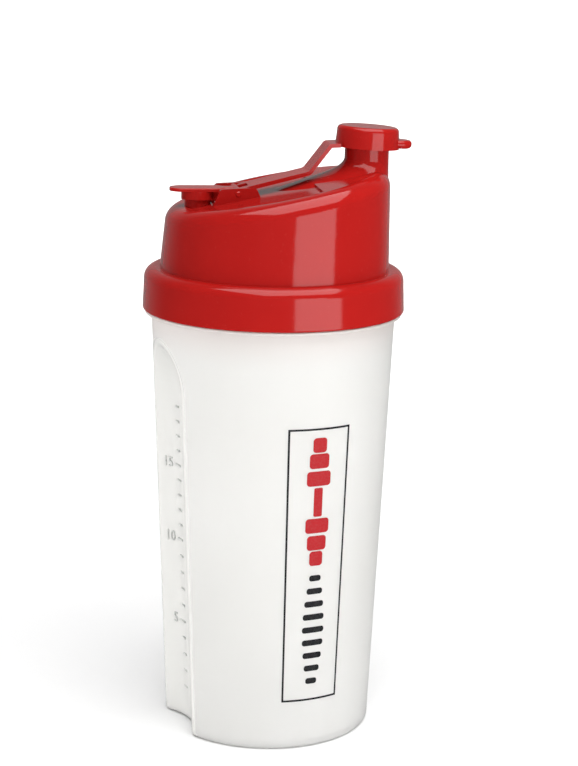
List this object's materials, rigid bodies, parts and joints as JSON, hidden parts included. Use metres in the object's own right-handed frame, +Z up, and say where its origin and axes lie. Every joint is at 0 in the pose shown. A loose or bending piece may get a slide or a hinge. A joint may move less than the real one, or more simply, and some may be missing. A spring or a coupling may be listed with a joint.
{
  "type": "shaker bottle",
  "caption": "Shaker bottle: a tapered translucent cup with a grip groove and a screw lid with a capped spout, a flip vent and a mixing grid.",
  "frame": {"origin": "centre of the cup's flat base", "axes": "+Z up along the bottle's axis, +X from the axis towards the drinking spout, -Y the side with the printed label"},
  "size_m": [0.0964, 0.0946, 0.2219],
  "materials": {
    "cup_plastic": "frosted translucent polypropylene",
    "lid_plastic": "glossy polypropylene",
    "cap_plastic": "glossy polypropylene",
    "vent_plastic": "glossy polypropylene",
    "pin_plastic": "glossy polypropylene",
    "grid_plastic": "satin moulded plastic",
    "seal_rubber": "food-grade silicone",
    "cap_seal_rubber": "food-grade silicone",
    "vent_plug_rubber": "food-grade silicone"
  },
  "bodies": {
    "cup": {"cup": "cup_plastic"},
    "lid_gasket": {"lid_gasket": "seal_rubber"},
    "lid": {"lid": "lid_plastic", "mixing_grid": "grid_plastic", "hinge_pin": "pin_plastic"},
    "flip_cap": {"flip_cap": "cap_plastic", "cap_seal": "cap_seal_rubber"},
    "vent_cap": {"vent_cap": "vent_plastic", "vent_plug": "vent_plug_rubber"}
  },
  "joints": [
    {"name": "lid_lift", "type": "slide", "parent": "cup", "child": "lid_gasket", "axis": [0, 0, 1], "range_m": [0, 0.0201]},
    {"name": "lid_turn", "type": "hinge", "parent": "lid_gasket", "child": "lid", "pos_m": [0, 0, 0.1686], "axis": [0, 0, 1], "range_deg": [0, 900]},
    {"name": "cap_flip", "type": "hinge", "parent": "lid", "child": "flip_cap", "pos_m": [-0.0144, 0, 0.198], "axis": [0, -1, 0], "range_deg": [0, 120]},
    {"name": "vent_flip", "type": "hinge", "parent": "lid", "child": "vent_cap", "pos_m": [-0.0144, 0, 0.198], "axis": [0, 1, 0], "range_deg": [0, 90]}
  ],
  "couplings": [
    {"joint": "lid_lift", "follows": "lid_turn", "m_per_rad": 0.0012732}
  ]
}
